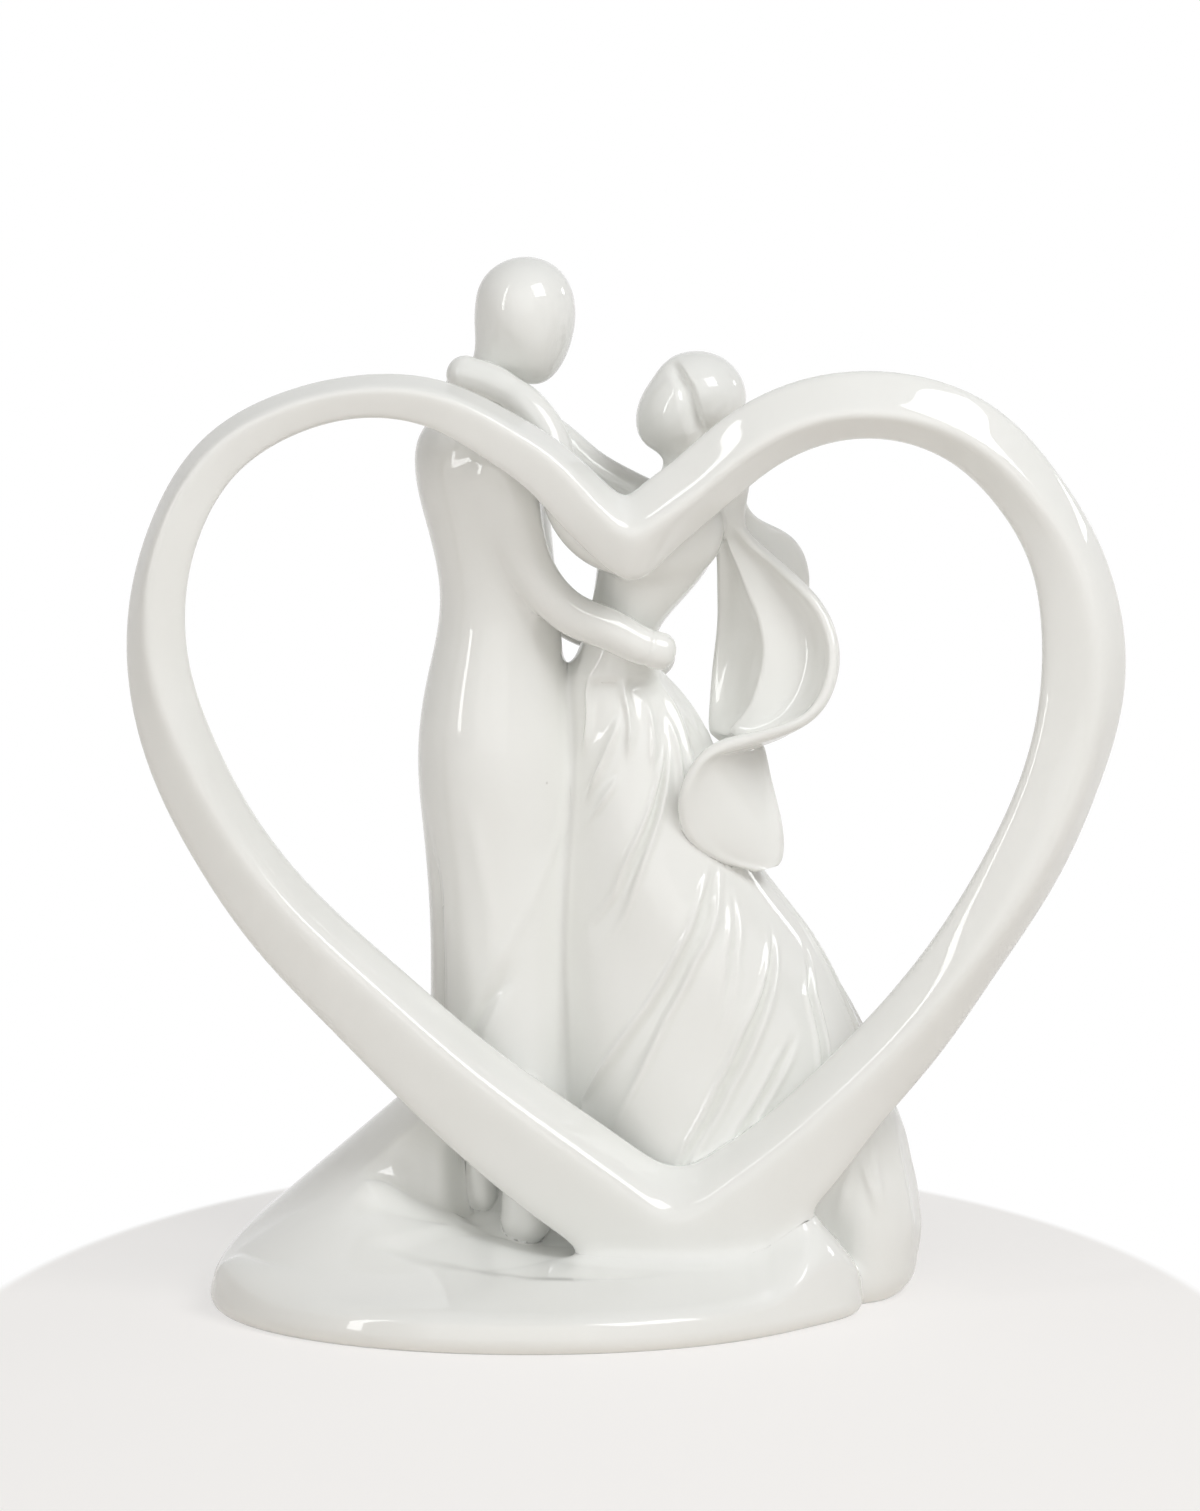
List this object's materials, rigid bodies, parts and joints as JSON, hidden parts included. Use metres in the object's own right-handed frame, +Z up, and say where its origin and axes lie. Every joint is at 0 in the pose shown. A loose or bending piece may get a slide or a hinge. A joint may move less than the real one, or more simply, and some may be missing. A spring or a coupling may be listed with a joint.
{
  "type": "cake topper",
  "caption": "Free-standing glazed porcelain cake topper: a faceless embracing couple in an open heart ring on an oval foot, to set on top of a cake",
  "frame": {"origin": "middle of the bounding box on the surface that the topper stands on", "axes": "+Z up, +X to the right of someone facing the heart, +Y from the heart towards the couple's back"},
  "size_m": [0.1322, 0.068, 0.14],
  "materials": {
    "porcelain": "white body under a clear gloss glaze"
  },
  "bodies": {
    "root": {"base": "porcelain", "heart_ring": "porcelain", "groom_body": "porcelain", "groom_near_leg": "porcelain", "groom_far_leg": "porcelain", "groom_head": "porcelain", "groom_near_arm": "porcelain", "groom_far_arm": "porcelain", "bride_skirt": "porcelain", "bride_train": "porcelain", "bride_torso": "porcelain", "bride_head": "porcelain", "bride_hair": "porcelain", "bride_near_arm": "porcelain", "bride_far_arm": "porcelain", "veil_front": "porcelain", "veil_back": "porcelain"}
  },
  "joints": []
}
